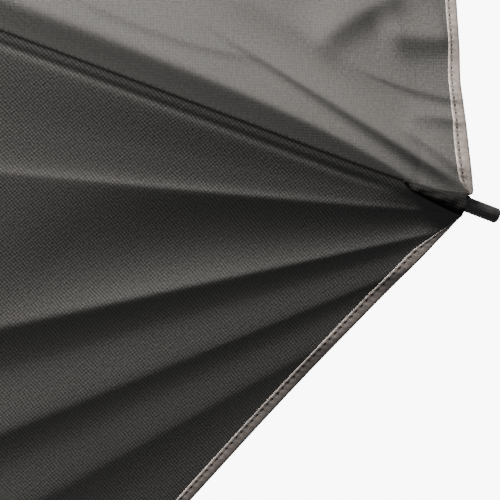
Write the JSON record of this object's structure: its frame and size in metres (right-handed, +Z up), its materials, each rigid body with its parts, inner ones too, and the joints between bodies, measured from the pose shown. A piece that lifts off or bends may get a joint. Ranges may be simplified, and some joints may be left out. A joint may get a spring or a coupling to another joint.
{
  "type": "umbrella reflector",
  "caption": "Ribbed studio umbrella reflector, black behind and silver in front, standing open on a round shaft, with a sliding runner that folds it.",
  "frame": {"origin": "on the shaft's axis, at the place where a lamp's umbrella bracket grips it", "axes": "+Y along the shaft from its free end to the crown, out of the canopy's black back; -Y out of the silver hollow; +Z up, between two ribs"},
  "size_m": [0.9952, 0.7858, 0.9952],
  "materials": {
    "black_nylon": "moulded, satin black",
    "black_enamel": "black enamelled",
    "bright_steel": "bright plated",
    "glass_fibre": "pultruded, black",
    "reflector_cloth": "black outside, silver inside"
  },
  "bodies": {
    "frame": {"shaft_tube": "bright_steel", "crown": "black_nylon", "crown_wire": "bright_steel", "crown_rivet": "bright_steel", "ferrule": "black_nylon", "canopy_washer": "black_nylon", "shaft_end_cap": "black_nylon", "runner_stop_pin": "bright_steel", "catch_pin": "bright_steel"},
    "rib_1": {"rib_rod_1": "glass_fibre", "rib_eye_1": "bright_steel", "bracket_1": "black_nylon", "tip_cap_1": "black_nylon", "gore_1": "reflector_cloth"},
    "stretcher_1": {"stretcher_1": "black_enamel"},
    "rib_2": {"rib_rod_2": "glass_fibre", "rib_eye_2": "bright_steel", "bracket_2": "black_nylon", "tip_cap_2": "black_nylon", "gore_2": "reflector_cloth"},
    "stretcher_2": {"stretcher_2": "black_enamel"},
    "rib_3": {"rib_rod_3": "glass_fibre", "rib_eye_3": "bright_steel", "bracket_3": "black_nylon", "tip_cap_3": "black_nylon", "gore_3": "reflector_cloth"},
    "stretcher_3": {"stretcher_3": "black_enamel"},
    "rib_4": {"rib_rod_4": "glass_fibre", "rib_eye_4": "bright_steel", "bracket_4": "black_nylon", "tip_cap_4": "black_nylon", "gore_4": "reflector_cloth"},
    "stretcher_4": {"stretcher_4": "black_enamel"},
    "rib_5": {"rib_rod_5": "glass_fibre", "rib_eye_5": "bright_steel", "bracket_5": "black_nylon", "tip_cap_5": "black_nylon", "gore_5": "reflector_cloth"},
    "stretcher_5": {"stretcher_5": "black_enamel"},
    "rib_6": {"rib_rod_6": "glass_fibre", "rib_eye_6": "bright_steel", "bracket_6": "black_nylon", "tip_cap_6": "black_nylon", "gore_6": "reflector_cloth"},
    "stretcher_6": {"stretcher_6": "black_enamel"},
    "rib_7": {"rib_rod_7": "glass_fibre", "rib_eye_7": "bright_steel", "bracket_7": "black_nylon", "tip_cap_7": "black_nylon", "gore_7": "reflector_cloth"},
    "stretcher_7": {"stretcher_7": "black_enamel"},
    "rib_8": {"rib_rod_8": "glass_fibre", "rib_eye_8": "bright_steel", "bracket_8": "black_nylon", "tip_cap_8": "black_nylon", "gore_8": "reflector_cloth"},
    "stretcher_8": {"stretcher_8": "black_enamel"},
    "runner": {"runner": "black_nylon", "runner_wire": "bright_steel"},
    "catch": {"catch": "bright_steel"}
  },
  "joints": [
    {"name": "fold", "type": "hinge", "parent": "frame", "child": "rib_1", "pos_m": [-0.00924, 0.62, -0.00383], "axis": [-0.3827, 0, 0.9239], "range_deg": [0, 66], "deforming": ["gore_1", "catch"]},
    {"name": "stretcher_1_turn", "type": "hinge", "parent": "rib_1", "child": "stretcher_1", "pos_m": [-0.22543, 0.55097, -0.09338], "axis": [-0.3827, 0, 0.9239], "range_deg": [-132, 0]},
    {"name": "rib_2_fold", "type": "hinge", "parent": "frame", "child": "rib_2", "pos_m": [-0.00924, 0.62, 0.00383], "axis": [0.3827, 0, 0.9239], "range_deg": [0, 66], "deforming": ["gore_2"]},
    {"name": "stretcher_2_turn", "type": "hinge", "parent": "rib_2", "child": "stretcher_2", "pos_m": [-0.22543, 0.55097, 0.09338], "axis": [0.3827, 0, 0.9239], "range_deg": [-132, 0]},
    {"name": "rib_3_fold", "type": "hinge", "parent": "frame", "child": "rib_3", "pos_m": [-0.00383, 0.62, 0.00924], "axis": [0.9239, 0, 0.3827], "range_deg": [0, 66], "deforming": ["gore_3"]},
    {"name": "stretcher_3_turn", "type": "hinge", "parent": "rib_3", "child": "stretcher_3", "pos_m": [-0.09338, 0.55097, 0.22543], "axis": [0.9239, 0, 0.3827], "range_deg": [-132, 0]},
    {"name": "rib_4_fold", "type": "hinge", "parent": "frame", "child": "rib_4", "pos_m": [0.00383, 0.62, 0.00924], "axis": [0.9239, 0, -0.3827], "range_deg": [0, 66], "deforming": ["gore_4"]},
    {"name": "stretcher_4_turn", "type": "hinge", "parent": "rib_4", "child": "stretcher_4", "pos_m": [0.09338, 0.55097, 0.22543], "axis": [0.9239, 0, -0.3827], "range_deg": [-132, 0]},
    {"name": "rib_5_fold", "type": "hinge", "parent": "frame", "child": "rib_5", "pos_m": [0.00924, 0.62, 0.00383], "axis": [0.3827, 0, -0.9239], "range_deg": [0, 66], "deforming": ["gore_5"]},
    {"name": "stretcher_5_turn", "type": "hinge", "parent": "rib_5", "child": "stretcher_5", "pos_m": [0.22543, 0.55097, 0.09338], "axis": [0.3827, 0, -0.9239], "range_deg": [-132, 0]},
    {"name": "rib_6_fold", "type": "hinge", "parent": "frame", "child": "rib_6", "pos_m": [0.00924, 0.62, -0.00383], "axis": [-0.3827, 0, -0.9239], "range_deg": [0, 66], "deforming": ["gore_6"]},
    {"name": "stretcher_6_turn", "type": "hinge", "parent": "rib_6", "child": "stretcher_6", "pos_m": [0.22543, 0.55097, -0.09338], "axis": [-0.3827, 0, -0.9239], "range_deg": [-132, 0]},
    {"name": "rib_7_fold", "type": "hinge", "parent": "frame", "child": "rib_7", "pos_m": [0.00383, 0.62, -0.00924], "axis": [-0.9239, 0, -0.3827], "range_deg": [0, 66], "deforming": ["gore_7"]},
    {"name": "stretcher_7_turn", "type": "hinge", "parent": "rib_7", "child": "stretcher_7", "pos_m": [0.09338, 0.55097, -0.22543], "axis": [-0.9239, 0, -0.3827], "range_deg": [-132, 0]},
    {"name": "rib_8_fold", "type": "hinge", "parent": "frame", "child": "rib_8", "pos_m": [-0.00383, 0.62, -0.00924], "axis": [-0.9239, 0, 0.3827], "range_deg": [0, 66], "deforming": ["gore_8"]},
    {"name": "stretcher_8_turn", "type": "hinge", "parent": "rib_8", "child": "stretcher_8", "pos_m": [-0.09338, 0.55097, -0.22543], "axis": [-0.9239, 0, 0.3827], "range_deg": [-132, 0]},
    {"name": "runner_slide_link", "type": "hinge", "parent": "stretcher_1", "child": "runner", "pos_m": [-0.00924, 0.48194, -0.00383], "axis": [-0.3827, 0, 0.9239], "range_deg": [0, 66]},
    {"name": "catch_press", "type": "hinge", "parent": "frame", "child": "catch", "pos_m": [0, 0.41794, 0], "axis": [-1, 0, 0], "range_deg": [0, 6], "stiffness_Nm_per_rad": 0.15}
  ],
  "couplings": [
    {"joint": "stretcher_1_turn", "follows": "fold", "ratio": -2},
    {"joint": "rib_2_fold", "follows": "fold", "ratio": 1},
    {"joint": "stretcher_2_turn", "follows": "fold", "ratio": -2},
    {"joint": "rib_3_fold", "follows": "fold", "ratio": 1},
    {"joint": "stretcher_3_turn", "follows": "fold", "ratio": -2},
    {"joint": "rib_4_fold", "follows": "fold", "ratio": 1},
    {"joint": "stretcher_4_turn", "follows": "fold", "ratio": -2},
    {"joint": "rib_5_fold", "follows": "fold", "ratio": 1},
    {"joint": "stretcher_5_turn", "follows": "fold", "ratio": -2},
    {"joint": "rib_6_fold", "follows": "fold", "ratio": 1},
    {"joint": "stretcher_6_turn", "follows": "fold", "ratio": -2},
    {"joint": "rib_7_fold", "follows": "fold", "ratio": 1},
    {"joint": "stretcher_7_turn", "follows": "fold", "ratio": -2},
    {"joint": "rib_8_fold", "follows": "fold", "ratio": 1},
    {"joint": "stretcher_8_turn", "follows": "fold", "ratio": -2},
    {"joint": "runner_slide_link", "follows": "fold", "ratio": 1}
  ]
}
